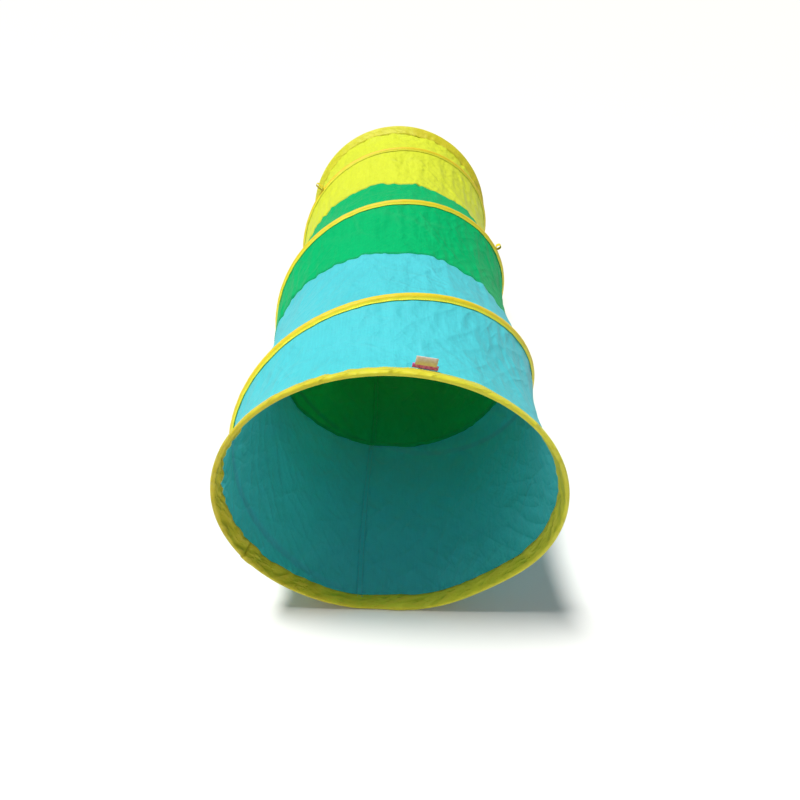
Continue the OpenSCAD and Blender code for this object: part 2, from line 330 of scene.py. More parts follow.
class Shader:
    """Short names for making a material's nodes."""

    def __init__(self, name):
        self.material = bpy.data.materials.new(name)
        self.material.use_nodes = True
        self.tree = self.material.node_tree
        self.main = self.tree.nodes["Principled BSDF"]

    def feed(self, socket, value):
        """Gives an input a number, a vector, a colour or another node's output."""
        if isinstance(value, bpy.types.NodeSocket):
            self.tree.links.new(value, socket)
        elif isinstance(value, tuple) and len(value) < len(socket.default_value):
            socket.default_value = (*value, 1)
        else:
            socket.default_value = value

    def node(self, kind, inputs=None, **settings):
        made = self.tree.nodes.new(kind)
        for key, value in settings.items():
            setattr(made, key, value)
        for key, value in (inputs or {}).items():
            self.feed(made.inputs[key], value)
        return made

    def surface(self, **inputs):
        """Sets the shader's own inputs. An underscore in a name stands for a space."""
        for key, value in inputs.items():
            self.feed(self.main.inputs[key.replace("_", " ")], value)

    def cloth(self, scale=(1, 1, 1)):
        """Coordinates along and across the cloth, in metres, times scale."""
        place = self.node("ShaderNodeAttribute", attribute_name="cloth").outputs["Vector"]
        return self.node("ShaderNodeMapping", {"Scale": scale, "Vector": place}).outputs["Vector"]

    def turned(self, place, turn, stretch):
        """Coordinates turned by an angle and drawn out along it."""
        scale = tuple(1 / k for k in stretch)
        inputs = {"Rotation": (0, 0, turn), "Scale": scale, "Vector": place}
        return self.node("ShaderNodeMapping", inputs, vector_type="TEXTURE").outputs["Vector"]

    def noise(self, scale, detail=3.0, rough=0.55, stretch=(1, 1, 1), place=None):
        place = self.cloth(stretch) if place is None else place
        inputs = {"Scale": scale, "Detail": detail, "Roughness": rough, "Vector": place}
        return self.node("ShaderNodeTexNoise", inputs).outputs["Fac"]

    def ridged(self, scale, turn, stretch):
        """Crease lines, turned by an angle and drawn out along it."""
        place = self.turned(self.cloth(), turn, stretch)
        inputs = {"Scale": scale, "Detail": 2.5, "Roughness": 0.55, "Offset": 1.0, "Gain": 1.0}
        inputs["Vector"] = place
        return self.node("ShaderNodeTexNoise", inputs, noise_type="RIDGED_MULTIFRACTAL").outputs["Fac"]

    def folded(self, scale, turn, stretch, width):
        """Straight fold lines that meet at corners, as in packed cloth. 1 is a line's middle."""
        sway = self.node("ShaderNodeTexNoise", {"Scale": 16, "Vector": self.cloth()}).outputs["Color"]
        moved = self.node("ShaderNodeVectorMath", operation="MULTIPLY_ADD")
        for socket, value in zip(moved.inputs, (sway, (0.020, 0.020, 0), self.cloth())):
            self.feed(socket, value)
        place = self.turned(moved.outputs[0], turn, stretch)
        inputs = {"Scale": scale, "Vector": place}
        cells = self.node("ShaderNodeTexVoronoi", inputs, feature="DISTANCE_TO_EDGE")
        line = self.math("SUBTRACT", 1.0, self.math("DIVIDE", cells.outputs["Distance"], width))
        return self.math("MAXIMUM", line, 0.0)

    def bands(self, spacing, direction, distortion=0.0):
        """Ribs or threads at a spacing in metres."""
        scale = TURN / spacing / WAVE_UNIT
        inputs = {"Scale": scale, "Distortion": distortion, "Detail": 1.0, "Vector": self.cloth()}
        return self.node("ShaderNodeTexWave", inputs, bands_direction=direction).outputs["Fac"]

    def math(self, operation, first, second=0.0):
        made = self.node("ShaderNodeMath", operation=operation)
        self.feed(made.inputs[0], first)
        self.feed(made.inputs[1], second)
        return made.outputs[0]

    def ramp(self, factor, stops):
        made = self.node("ShaderNodeValToRGB", {"Fac": factor})
        elements = made.color_ramp.elements
        while len(elements) < len(stops):
            elements.new(0.5)
        for element, (place, colour) in zip(elements, stops):
            element.position = place
            element.color = (*colour, 1)
        return made.outputs["Color"]

    def mix(self, factor, first, second, mode="MIX"):
        made = self.node("ShaderNodeMix", data_type="RGBA", blend_type=mode)
        factor_socket, first_colour, second_colour = 0, 6, 7
        self.feed(made.inputs[factor_socket], factor)
        self.feed(made.inputs[first_colour], first)
        self.feed(made.inputs[second_colour], second)
        return made.outputs[2]

    def span(self, factor, low, high):
        """factor, from 0 to 1, as a number from low to high."""
        inputs = {"To Min": low, "To Max": high, "Value": factor}
        return self.node("ShaderNodeMapRange", inputs).outputs["Result"]

    def bump(self, layers):
        """layers is a list of (height, depth in metres, strength)."""
        normal = None
        for height, depth, strength in layers:
            inputs = {"Distance": depth, "Strength": strength, "Height": height}
            if normal:
                inputs["Normal"] = normal
            normal = self.node("ShaderNodeBump", inputs).outputs["Normal"]
        self.surface(Normal=normal)
        return normal


def shade(colour, factor):
    """A darker or lighter colour."""
    return tuple(min(1.0, c * factor) for c in colour)


def let_light_through(s, tone, share, normal):
    """Mixes in the light that passes through thin cloth. share is a number or a socket."""
    glow = s.node("ShaderNodeBsdfTranslucent", {"Color": tone, "Normal": normal})
    both = s.node("ShaderNodeMixShader")
    for socket, value in zip(both.inputs, (share, s.main.outputs[0], glow.outputs[0])):
        s.feed(socket, value)
    s.feed(s.tree.nodes["Material Output"].inputs["Surface"], both.outputs[0])


def cloth_material(name, colour, through, gloss):
    """Thin woven polyester, crinkled by its folding, that lets some light through except under the tape."""
    s = Shader(name)
    thread, clear = 0.0009, 0.25
    weave = s.math("MULTIPLY", s.bands(thread, "X", 0.4), s.bands(thread, "Y", 0.4))
    patches = s.noise(7, 4, 0.6)
    slubs = s.noise(1, 3, 0.6, (60, 700, 1))
    runs = s.noise(1, 3, 0.6, (420, 24, 1))
    folds = s.ridged(21, 0.9, (1.0, 0.38, 1))
    crinkles = s.ridged(34, -0.75, (1.0, 0.30, 1))
    small = s.ridged(62, 0.15, (1.0, 0.45, 1))
    some = s.math("MAXIMUM", s.math("MULTIPLY", s.math("SUBTRACT", s.noise(9, 2, 0.5), 0.42), 6.0), 0.0)
    some = s.math("MINIMUM", some, 1.0)
    packed = s.math("MULTIPLY", s.folded(17, 0.7, (1.0, 0.45, 1), 0.07), some)
    packed_fine = s.math("MULTIPLY", s.folded(42, -0.5, (1.0, 0.55, 1), 0.10), some)
    taped = s.node("ShaderNodeAttribute", attribute_name="under_tape").outputs["Fac"]
    tone = s.ramp(patches, [(0.25, shade(colour, 0.90)), (0.75, shade(colour, 1.05))])
    tone = s.mix(0.3, tone, s.ramp(slubs, [(0.3, shade(colour, 0.84)), (0.7, shade(colour, 1.12))]))
    tone = s.mix(0.3, tone, s.ramp(runs, [(0.3, shade(colour, 0.84)), (0.7, shade(colour, 1.14))]))
    # Painted highlight: the packed fold lines are paler, standing in for light catching the folds.
    tone = s.mix(s.math("MULTIPLY", packed, 0.12), tone, tuple(0.90 * c + 0.10 for c in colour))
    tone = s.mix(s.span(weave, 0.0, 0.15), tone, shade(colour, 0.7))
    # Painted shade: under the coil's tape the cloth is darkened, standing in for the shade that the tape
    # casts when seen from inside.
    tone = s.mix(s.math("MULTIPLY", taped, 0.35), tone, shade(colour, 0.55))
    s.surface(Base_Color=tone, Roughness=s.span(patches, 0.46, 0.62))
    s.surface(Sheen_Weight=0.2 * gloss, Sheen_Roughness=0.4, Specular_IOR_Level=gloss)
    normal = s.bump([
        (folds, 0.0012, 0.7), (crinkles, 0.0012, 0.9), (packed, 0.0009, 0.8), (packed_fine, 0.0004, 0.7),
        (small, 0.0006, 0.7), (runs, 0.0003, 0.5), (weave, 0.00012, 0.4)
    ])
    passing = s.math("SUBTRACT", clear, s.math("MULTIPLY", taped, 0.9 * clear))
    let_light_through(s, s.mix(0.35, through, tone, "MULTIPLY"), passing, normal)
    return s.material


def tape_material(name, colour, middle, half_w, crumple, lit_through_side=0.0, clear=0.0):
    """Ribbed tape, with painted shade along its middle, which the wire presses out, painted highlight at its
    edges, and painted light through one side.
    """
    s = Shader(name)
    across = s.node("ShaderNodeSeparateXYZ", {0: s.cloth()})
    off_middle = s.math("DIVIDE", s.math("ABSOLUTE", across.outputs["Y"]), half_w)
    ribs = s.bands(0.0011, "X", 0.6)
    cross = s.bands(0.0008, "Y", 0.3)
    patches = s.noise(34, 4, 0.6)
    crinkles = s.ridged(64, 1.25, (1.0, 0.35, 1))
    puckers = s.ridged(120, 1.60, (1.0, 0.30, 1))
    dents = s.noise(150, 3, 0.6)
    # Painted shade: the tape is darker in broad random patches, standing in for its crinkles' uneven light.
    patchy_shade = s.mix(s.span(patches, 0.0, 0.5), colour, shade(colour, 0.80))
    # Painted shade: the middle, where the wire presses the tape out, takes the middle colour; painted
    # highlight: lighter towards the edges.
    golden = s.ramp(off_middle, [(0.0, middle), (0.50, middle), (0.62, colour), (1.0, shade(colour, 1.1))])
    tone = s.mix(0.15, golden, patchy_shade)
    # Painted light: a golden tint on one side of the tunnel stands in for sunlight shining through the hem
    # there.
    if lit_through_side:
        turned = s.math("SINE", s.math("DIVIDE", across.outputs["X"], float(RADIUS)))
        lit_through_share = s.math("MULTIPLY", s.math("ADD", s.math("MULTIPLY", turned, lit_through_side), 0.2), 0.6)
        lit_through_share = s.math("ADD", lit_through_share, s.math("MULTIPLY", s.math("SUBTRACT", patches, 0.5), 1.2))
        tone = s.mix(s.math("MAXIMUM", s.math("MINIMUM", lit_through_share, 0.9), 0.0), tone, GOLD_LIGHT_AND_SHADE)
    # Painted shade: darker along the crinkles.
    tone = s.mix(s.math("MULTIPLY", s.span(crinkles, 0.0, 0.3), crumple), tone, shade(colour, 0.55))
    s.surface(Base_Color=s.mix(s.span(ribs, 0.0, 0.16), tone, shade(colour, 0.75)))
    s.surface(Roughness=s.span(patches, 0.34, 0.56), Sheen_Weight=0.08, Specular_IOR_Level=0.4)
    normal = s.bump([
        (patches, 0.0024 * crumple, 0.7), (crinkles, 0.0030 * crumple, 0.9), (puckers, 0.0014 * crumple, 0.8),
        (dents, 0.0012 * crumple, 0.7), (ribs, 0.00016, 0.6), (cross, 0.0001, 0.4)
    ])
    if clear:
        let_light_through(s, s.mix(0.6, tone, middle), clear, normal)
    return s.material


def thread_material(name, colour):
    """Twisted sewing thread."""
    s = Shader(name)
    twist = s.bands(0.0006, "DIAGONAL", 0.2)
    s.surface(Base_Color=s.ramp(twist, [(0.0, shade(colour, 0.72)), (1.0, colour)]))
    s.surface(Roughness=s.span(twist, 0.35, 0.5), Sheen_Weight=0.1)
    s.bump([(twist, 0.00008, 0.6)])
    return s.material


def steel_material(name, colour, rough):
    """Drawn spring wire, with fine lines along it and a few dull patches."""
    s = Shader(name)
    place = s.node("ShaderNodeTexCoord").outputs["Object"]
    drawn = s.node("ShaderNodeMapping", {"Scale": (1, 0.2, 1), "Vector": place}).outputs["Vector"]
    patches = s.noise(60, 4, 0.5, place=place)
    lines = s.noise(900, 4, 0.5, place=drawn)
    s.surface(Base_Color=s.ramp(patches, [(0.35, shade(colour, 0.72)), (0.7, colour)]))
    s.surface(Roughness=s.span(lines, rough - 0.08, rough + 0.14), Metallic=1.0)
    s.bump([(lines, 0.00005, 0.4), (patches, 0.0001, 0.25)])
    return s.material


def label_material(name, colour, second):
    """Soft woven label with fine ribs across it, mottled with a second colour."""
    s = Shader(name)
    ribs = s.bands(0.0006, "Y", 0.3)
    mottles = s.noise(240, 2, 0.6)
    patches = s.noise(60, 3, 0.6)
    tone = s.mix(s.span(mottles, -0.7, 1.5), colour, second)
    s.surface(Base_Color=s.mix(s.span(ribs, 0.0, 0.2), tone, shade(colour, 0.75)))
    s.surface(Roughness=s.span(patches, 0.6, 0.8), Sheen_Weight=0.15)
    s.bump([(ribs, 0.0001, 0.6), (patches, 0.0004, 0.4)])
    return s.material


TEAL = (0.11, 0.77, 0.90)
GREEN = (0.0, 0.60, 0.20)
LIME = (0.86, 0.95, 0.05)
YELLOW = (1.0, 0.96, 0.05)
# A painted colour: painted shade along the casing tape's middle, and painted light through one side of the
# hems.
GOLD_LIGHT_AND_SHADE = (0.90, 0.64, 0.0)
# Painted light: the rear hem's tape is a lighter copy of the front's yellow.
REAR_YELLOW_LIT = (1.0, 0.99, 0.05)
HEM_HALF = 0.030

teal_cloth = cloth_material("teal_cloth", TEAL, (0.0, 0.76, 0.52), 0.25)
green_cloth = cloth_material("green_cloth", GREEN, (0.0, 0.80, 0.12), 0.08)
lime_cloth = cloth_material("lime_cloth", LIME, (0.85, 0.95, 0.03), 0.25)
casing_tape = tape_material("casing_tape", YELLOW, GOLD_LIGHT_AND_SHADE, CASING_HALF, 0.15)
front_tape = tape_material("front_tape", YELLOW, YELLOW, HEM_HALF, 0.6, 0.8, 0.22)
rear_tape = tape_material("rear_tape", REAR_YELLOW_LIT, REAR_YELLOW_LIT, HEM_HALF, 0.25, -0.5, 0.30)
yellow_thread = thread_material("yellow_thread", (0.95, 0.86, 0.10))
teal_thread = thread_material("teal_thread", (0.10, 0.60, 0.66))
green_thread = thread_material("green_thread", (0.01, 0.42, 0.18))
spring_steel = steel_material("spring_steel", (0.56, 0.57, 0.60), 0.32)
ferrule_metal = steel_material("ferrule_metal", (0.74, 0.74, 0.76), 0.42)
label_cloth = label_material("label_cloth", (0.76, 0.60, 0.50), (0.90, 0.82, 0.76))
strip_cloth = label_material("strip_cloth", (0.60, 0.02, 0.55), (0.96, 0.42, 0.90))

# ---- Mesh making ----


def make_piece(name, points, faces, material, cloth=None):
    """A smooth mesh object. cloth holds each point's place along and across its cloth, for the material."""
    mesh = bpy.data.meshes.new(name)
    faces = faces if isinstance(faces, list) else faces.tolist()
    mesh.from_pydata(np.asarray(points, float).reshape(-1, 3).tolist(), [], faces)
    mesh.polygons.foreach_set("use_smooth", np.ones(len(faces), bool))
    if cloth is not None:
        place = np.zeros((len(mesh.vertices), 3), np.float32)
        place[:, :2] = np.asarray(cloth, float).reshape(-1, 2)
        attribute = mesh.attributes.new("cloth", "FLOAT_VECTOR", "POINT")
        attribute.data.foreach_set("vector", place.ravel())
    mesh.materials.append(material)
    mesh.update()
    piece = bpy.data.objects.new(name, mesh)
    bpy.context.scene.collection.objects.link(piece)
    return piece


def grid_faces(rows, columns, closed_rows, closed_columns):
    """Quads over a grid of points listed row by row."""
    i = np.arange(rows if closed_rows else rows - 1)
    j = np.arange(columns if closed_columns else columns - 1)
    i, j = (a.ravel() for a in np.meshgrid(i, j, indexing="ij"))
    i1, j1 = (i + 1) % rows, (j + 1) % columns
    return np.stack([i * columns + j, i * columns + j1, i1 * columns + j1, i1 * columns + j], axis=1)


def band_faces(rings, section, closed):
    """Quads over rings of section points, with an open sweep's two ends closed by strips."""
    faces = grid_faces(rings, section, closed, True)
    if closed:
        return faces
    j = np.arange(section // 2 - 1)
    cap = np.stack([section - 1 - j, section - 2 - j, j + 1, j], axis=1)
    return np.concatenate([faces, cap, (rings - 1) * section + cap[:, ::-1]])


def places(along, across):
    """Each point's place along and across its cloth."""
    return np.stack(np.broadcast_arrays(along, across), axis=-1)


def outward(points, faces):
    """The faces, turned so that the closed mesh's volume is positive."""
    p = points.reshape(-1, 3)
    a, b, c, d = (p[faces[:, k]] for k in range(4))
    volume = np.einsum("ij,ij->i", a, np.cross(b, c)).sum() + np.einsum("ij,ij->i", a, np.cross(c, d)).sum()
    return faces if volume > 0 else faces[:, ::-1]


def make_band(name, upper, lower, along, across, material):
    """A closed strip from its two faces, given as rows of points, with each point's place on the cloth."""
    points = np.concatenate([upper, lower[:, ::-1]], axis=1)
    faces = outward(points, band_faces(len(points), points.shape[1], False))
    both = np.concatenate([across, across[::-1]])
    return make_piece(name, points, faces, material, places(along[:, None], both[None, :]))


# ---- Fold weights along the bays ----


def bay_ends(bay, angle):
    """Distances from the mouth at which a bay's fold weight starts to rise from 0 and reaches 1."""
    first = HEM_W + 0.0005 + lean_at(angle) if bay == 0 else (SEAM_1, SEAM_2)[bay - 1]
    last = (SEAM_1, SEAM_2, LENGTH - HEM_W - 0.0005)[bay]
    return first, last


def bay_weight(bay, angle, y):
    first, last = bay_ends(bay, angle)
    return np.clip((y - first) / (last - first), 0, 1)


def fold_with(piece, bay, weights):
    """Bakes the piece's transform into its mesh. It works out the bay's ends and spreads weights, which has a
    share for each point or for each ring of points, over the points, but uses neither: the piece does not
    fold."""
    ends = [MOUTH_Y + float(np.min(end)) for end in bay_ends(bay, 0.0)]
    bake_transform(piece)
    values = np.asarray(weights, np.float32).ravel()
    values = np.repeat(values, len(piece.data.vertices) // len(values))


def stand_for(piece, node=None, body=None):
    """The piece rides on a body and replaces a CAD node, which it hides, where they are named."""
    if body:
        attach(piece, body)
    if node:
        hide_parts(node)


# ---- Fabric tube: designed, then settled as cloth ----

COLUMNS = 216
ROWS_PER_BAY = (50, 50, 48)
SEAM_ROWS = (ROWS_PER_BAY[0], ROWS_PER_BAY[0] + ROWS_PER_BAY[1])


def row_places():
    """Distances along the cloth of its rows of points, with a row on each seam."""
    stops = (PANEL_EDGE, SEAM_1, SEAM_2, LENGTH - PANEL_EDGE)
    parts = [np.linspace(a, b, n, endpoint=False) for a, b, n in zip(stops, stops[1:], ROWS_PER_BAY)]
    return np.concatenate([*parts, [stops[-1]]])


def coil_crossings(angle):
    """Where the coil crosses the cloth at an angle, as distances along the cloth."""
    found = []
    for k in range(3):
        at = angle + TURN * k
        v = float(cloth_y(coil_y(at), angle))
        if CASING_FIRST <= at <= CASING_LAST and HEM_W + CLEAR_OF_HEM < v < LENGTH - HEM_W - CLEAR_OF_HEM:
            found.append(v)
    return found


def waist_of(angle, v, stops):
    """How far the cloth pulls in between the coil and the hems, more on top, where it also sags."""
    on_top = (1 - np.cos(angle)) / 2
    depth = np.zeros_like(v)
    for a, b in zip(stops, stops[1:]):
        t = np.clip((v - a) / (b - a), 0, 1)
        depth += WAIST * ((b - a) / PITCH) ** 1.4 * np.sin(math.pi * t) ** 1.3
    return depth * (0.45 + 0.8 * on_top)


def designed_cloth():
    """The taut shape of the cloth: its points, their distances along the cloth, and what holds them."""
    base = row_places()
    angles = np.arange(COLUMNS) * TURN / COLUMNS
    cloth_v = np.tile(base, (COLUMNS, 1))
    inset = np.zeros_like(cloth_v)
    held = np.zeros(cloth_v.shape, bool)
    held[:, :2] = held[:, -2:] = True
    for i, angle in enumerate(angles):
        crossings = coil_crossings(angle)
        for v in crossings:
            j = int(np.abs(base - v).argmin())
            move = v - base[j]
            cloth_v[i, j] = v
            cloth_v[i, j - 1] += move / 2
            cloth_v[i, j + 1] += move / 2
            held[i, j] = True
        stops = [HEM_W, *crossings, LENGTH - HEM_W]
        front, rear = hem_support(angle, False), hem_support(angle, True)
        rests = [front, *[COIL_SUPPORT] * len(crossings), rear]
        ends = [min(front, COIL_SUPPORT), (rear + COIL_SUPPORT) / 2]
        inset[i] = np.interp(
            cloth_v[i], [PANEL_EDGE, *stops, LENGTH - PANEL_EDGE], [ends[0], *rests, ends[1]]
        )
        inset[i] += waist_of(angle, cloth_v[i], stops)
    points = wall(angles[:, None], inset, cloth_v, lean_share(cloth_v))
    return points, cloth_v, held


def coil_distance(cloth_v):
    """Distance along the cloth to the nearest of the coil's crossings."""
    away = np.full(cloth_v.shape, 1.0)
    for i, angle in enumerate(np.arange(len(cloth_v)) * TURN / len(cloth_v)):
        for v in coil_crossings(angle):
            away[i] = np.minimum(away[i], np.abs(cloth_v[i] - v))
    return away


CLOTH_RUN = {
    "quality": 6,
    "mass": 0.12,
    "tension_stiffness": 25,
    "compression_stiffness": 12,
    "shear_stiffness": 6,
    "bending_stiffness": 0.12,
    "tension_damping": 12,
    "compression_damping": 12,
    "shear_damping": 12,
    "air_damping": 3,
    "vertex_group_mass": "held",
    "pin_stiffness": 1,
}


def settle(points, cloth_v, held):
    """Runs the cloth from the taut shape, cut a little wide and a little short, so that it creases."""
    columns, rows = held.shape
    angles = (np.arange(columns) * TURN / columns)[:, None]
    v = points[..., 1] - MOUTH_Y
    free = smooth_step((coil_distance(cloth_v) - 0.004) / 0.014)
    r = np.hypot(points[..., 0], points[..., 2] - (RADIUS - SAG))
    wide, short, twist = 1.014, 0.985, 0.05
    turn = angles + twist * v / LENGTH
    cut = np.stack([-r * wide * np.sin(turn), v * short, -r * wide * np.cos(turn)], axis=-1)

    start = points.copy()
    ripple = 0.0012 * noise(angles * 60 / TURN, v * 22, 11, 60)
    ripple = ripple + 0.0006 * noise(angles * 150 / TURN, v * 30, 12, 150)
    start[..., 0] += np.where(held, 0, ripple) * -np.sin(angles)
    start[..., 2] += np.where(held, 0, ripple) * -np.cos(angles)

    faces = grid_faces(columns, rows, True, False)
    cloth = make_piece("cloth_run", start, faces, teal_cloth)
    cloth.shape_key_add(name="Basis")
    key = cloth.shape_key_add(name="cut")
    key.data.foreach_set("co", cut.reshape(-1).astype(np.float32))
    group = cloth.vertex_groups.new(name="held")
    group.add(np.flatnonzero(held.ravel()).tolist(), 1.0, "REPLACE")

    modifier = cloth.modifiers.new("run", "CLOTH")
    settings = modifier.settings
    for setting, value in CLOTH_RUN.items():
        setattr(settings, setting, value)
    settings.rest_shape_key = key
    settings.effector_weights.gravity = 0.12
    modifier.collision_settings.use_collision = False
    last = 22
    modifier.point_cache.frame_start = 1
    modifier.point_cache.frame_end = last
    scene = bpy.context.scene
    for step in range(1, last + 1):
        scene.frame_set(step)
    shown = cloth.evaluated_get(bpy.context.evaluated_depsgraph_get())
    flat = np.empty(columns * rows * 3, np.float32)
    shown.data.vertices.foreach_get("co", flat)
    scene.frame_set(1)
    bpy.data.objects.remove(cloth, do_unlink=True)
    moved = flat.reshape(columns, rows, 3).astype(float) - points
    moved *= free[..., None]
    far = np.linalg.norm(moved, axis=-1, keepdims=True)
    cap = 0.012
    moved *= cap * np.tanh(far / cap) / np.maximum(far, TINY)
    return points + moved


def finer(grid, closed):
    """Twice as many points along the first axis, on smooth curves through the given ones."""
    if closed:
        before, after, beyond = (np.roll(grid, s, axis=0) for s in (1, -1, -2))
    else:
        before = np.concatenate([grid[:1], grid[:-1]])
        after = np.concatenate([grid[1:], grid[-1:]])
        beyond = np.concatenate([after[1:], after[-1:]])
    between = (9 * (grid + after) - before - beyond) / 16
    out = np.empty((2 * len(grid), *grid.shape[1:]))
    out[0::2], out[1::2] = grid, between
    return out if closed else out[:-1]


def finer_both(grid):
    """Twice as many points round the tunnel and along it."""
    grid = finer(grid, True)
    return np.swapaxes(finer(np.swapaxes(grid, 0, 1), False), 0, 1)


def normals_of(points):
    """Outward directions over the closed grid of cloth points."""
    round_way = np.roll(points, -1, axis=0) - np.roll(points, 1, axis=0)
    along = np.gradient(points, axis=1)
    n = np.cross(along, round_way)
    n /= np.maximum(np.linalg.norm(n, axis=-1, keepdims=True), TINY)
    middle = np.array([0, 0, RADIUS - SAG])
    out = points - middle
    out[..., 1] = 0
    return n * np.sign((n * out).sum(-1, keepdims=True))


def hem_crinkle(angle, s, rear):
    """How far a hem's crinkles press in, at an angle and a distance from its fold."""
    seed = 76 if rear else 71
    gathered = smooth_step((0.2 - np.sin(angle)) / 0.6 if rear else (0.1 + np.sin(angle)) / 0.7)
    cross = noise(angle * 150 / TURN, s * 60, seed, 150)
    cross = cross + 0.7 * noise(angle * 70 / TURN, s * 40, seed + 1, 70)
    soft = noise(angle * 30 / TURN, s * 20, seed + 2, 30)
    share = smooth_step(s / HEM_W) * flare_of(angle, rear)
    return share * ((0.0007 + 0.0015 * gathered) * cross + 0.0010 * soft)


def crease(points, cloth_v):
    """Folds from support to support, slanting creases, and fine puckers at the sewn lines. Noise is laid
    out in cells: u times a count of cells goes round the tunnel, and v times a count of cells per metre."""
    columns = len(points)
    angles = np.arange(columns) * TURN / columns
    a = angles[:, None]
    u = a / TURN
    v = cloth_v
    coil_away = coil_distance(v)
    hem_away = np.maximum(0, np.minimum(v - HEM_W, LENGTH - HEM_W - v))
    seam_away = np.minimum(np.abs(v - SEAM_1), np.abs(v - SEAM_2))
    off_tape = smooth_step((coil_away - CASING_HALF * 0.8) / 0.010)
    free = off_tape * (1 - np.exp(-hem_away / 0.012)) * (1 - np.exp(-coil_away / 0.03))
    on_top = (1 - np.cos(a)) / 2
    right = smooth_step((0.15 - np.sin(a)) / 0.7)
    last_bay = smooth_step((v - SEAM_2) / 0.15)

    fold_height, scallop_height = 0.0026, 0.0050
    folds = ridges(u * 21 + 1.5 * v, v * 2.5, 34, 3, 21) - 0.4
    depth = fold_height * free * (0.3 + 0.7 * on_top) * folds
    # Seed, cells round the tunnel, slant, sharpness and height of each set of slanting creases
    slanting = (
        (31, 26, 13.0, 8, 0.0025 * (0.25 + 0.75 * right)),
        (32, 19, -9.0, 8, 0.0024),
        (33, 40, 20.0, 4, 0.0013 + 0.0018 * last_bay * right),
        (36, 30, -3.0, 5, 0.0014),
    )
    for seed, across, way, sharpness, height in slanting:
        lines = ridges(u * across + way * v, v * 4.0, seed, sharpness, across)
        depth += height * free * lines * (0.5 + 0.5 * noise(u * 6, v * 7, seed + 20, 6))

    fine = noise(u * 118, v * 20, 21, 118) + 0.6 * noise(u * 190, v * 26, 22, 190)
    depth += fine * off_tape * (
        0.0016 * np.exp(-coil_away / 0.018)
        + 0.0010 * np.exp(-hem_away / 0.020) * (hem_away > 0)
        + 0.0014 * np.exp(-seam_away / 0.016)
        + 0.0003
    )
    seam_groove = 0.0012 * np.exp(-(seam_away / 0.0035) ** 2)
    depth -= seam_groove
    for rear in (False, True):
        s = LENGTH - v if rear else v
        depth -= hem_crinkle(a, np.clip(s, 0, HEM_W), rear) * np.exp(-np.maximum(0, s - HEM_W) / 0.018)

    moved = points + normals_of(points) * depth[..., None]
    scallops = noise(u * 17, 0.5, 35, 17) + 0.5 * noise(u * 41, 0.5, 37, 41)
    moved[..., 1] += scallop_height * on_top * scallops * np.exp(-(seam_away / 0.05) ** 2)
    moved[..., 2] = np.maximum(moved[..., 2], FLOOR_CLEAR)
    return moved


taut, taut_v, held_points = designed_cloth()
settled = settle(taut, taut_v, held_points)
cloth_v = finer_both(taut_v)
cloth_p = crease(finer_both(settled), cloth_v)
cloth_n = normals_of(cloth_p)
FINE_COLUMNS, FINE_ROWS = cloth_v.shape
FINE_SEAM_ROWS = tuple(2 * row for row in SEAM_ROWS)


def on_cloth(angle, v, off=0.0):
    """Points a distance off the cloth at angles and distances along the cloth."""
    angle, v, off = np.broadcast_arrays(angle, v, off)
    i = (angle / TURN) % 1.0 * FINE_COLUMNS
    i0 = np.floor(i).astype(int) % FINE_COLUMNS
    i1 = (i0 + 1) % FINE_COLUMNS
    share = (i - np.floor(i))[..., None]

    def along(column):
        rows = np.empty(column.shape)
        for c in np.unique(column):
            mine = column == c
            rows[mine] = np.interp(v[mine], cloth_v[c], np.arange(FINE_ROWS))
        j0 = np.minimum(np.floor(rows).astype(int), FINE_ROWS - 2)
        part = (rows - j0)[..., None]
        p = cloth_p[column, j0] * (1 - part) + cloth_p[column, j0 + 1] * part
        n = cloth_n[column, j0] * (1 - part) + cloth_n[column, j0 + 1] * part
        return p, n

    (p0, n0), (p1, n1) = along(i0), along(i1)
    p = p0 * (1 - share) + p1 * share
    n = n0 * (1 - share) + n1 * share
    n /= np.maximum(np.linalg.norm(n, axis=-1, keepdims=True), TINY)
    return p + n * off[..., None]


PANELS = (
    ("teal_panel_cloth", "teal_panel", teal_cloth, "teal_fabric"),
    ("green_panel_cloth", "green_panel", green_cloth, "green_fabric"),
    ("yellow_panel_cloth", "yellow_panel", lime_cloth, "yellow_fabric"),
)
CUT_WIDTH = TURN * (RADIUS - COIL_SUPPORT)
BOTTOM_ANGLE = 11.67 * DEGREE


def make_panels():
    stops = (0, *FINE_SEAM_ROWS, FINE_ROWS - 1)
    seam_column = round(BOTTOM_ANGLE / TURN * FINE_COLUMNS)
    columns = np.arange(FINE_COLUMNS + 1) + seam_column
    angles = (columns * TURN / FINE_COLUMNS)[:, None]
    along = angles / TURN * CUT_WIDTH
    # under_tape marks the cloth under the coil's tape, where the material paints shade and lets less light
    # through.
    taped = 1 - smooth_step((coil_distance(cloth_v) - 0.0045) / 0.005)
    for bay, (name, node, material, slot) in enumerate(PANELS):
        first, last = stops[bay], stops[bay + 1] + 1
        points, v, under_tape = (
            grid[columns % FINE_COLUMNS, first:last] for grid in (cloth_p, cloth_v, taped.astype(np.float32))
        )
        faces = grid_faces(len(columns), last - first, False, False)[:, ::-1]
        piece = make_piece(name, points, faces, material, places(along, v))
        attribute = piece.data.attributes.new("under_tape", "FLOAT", "POINT")
        attribute.data.foreach_set("value", under_tape.ravel())
        thickness = piece.modifiers.new("thickness", "SOLIDIFY")
        thickness.thickness = FABRIC_T
        thickness.offset = -1
        thickness.use_even_offset = False
        weights = bay_weight(bay, angles, v + lean_at(angles) * lean_share(v))
        if bay < 2:
            weights[:, -1] = 1
        if bay > 0:
            weights[:, 0] = 0
        fold_with(piece, bay, weights)
        stand_for(piece, node)


# ---- Stitches ----


STITCH = 0.0034
STITCH_LENGTH = 0.0027
STITCH_WIDTH = 0.00055
STITCH_SHAPE = np.array([
    (-0.5, 0, -0.2),
    *[(t, w * 0.5, h) for t in (-0.36, 0.36) for w, h in ((-1, 0.1), (0, 0.75), (1, 0.1), (0, -0.4))],
    (0.5, 0, -0.2),
])


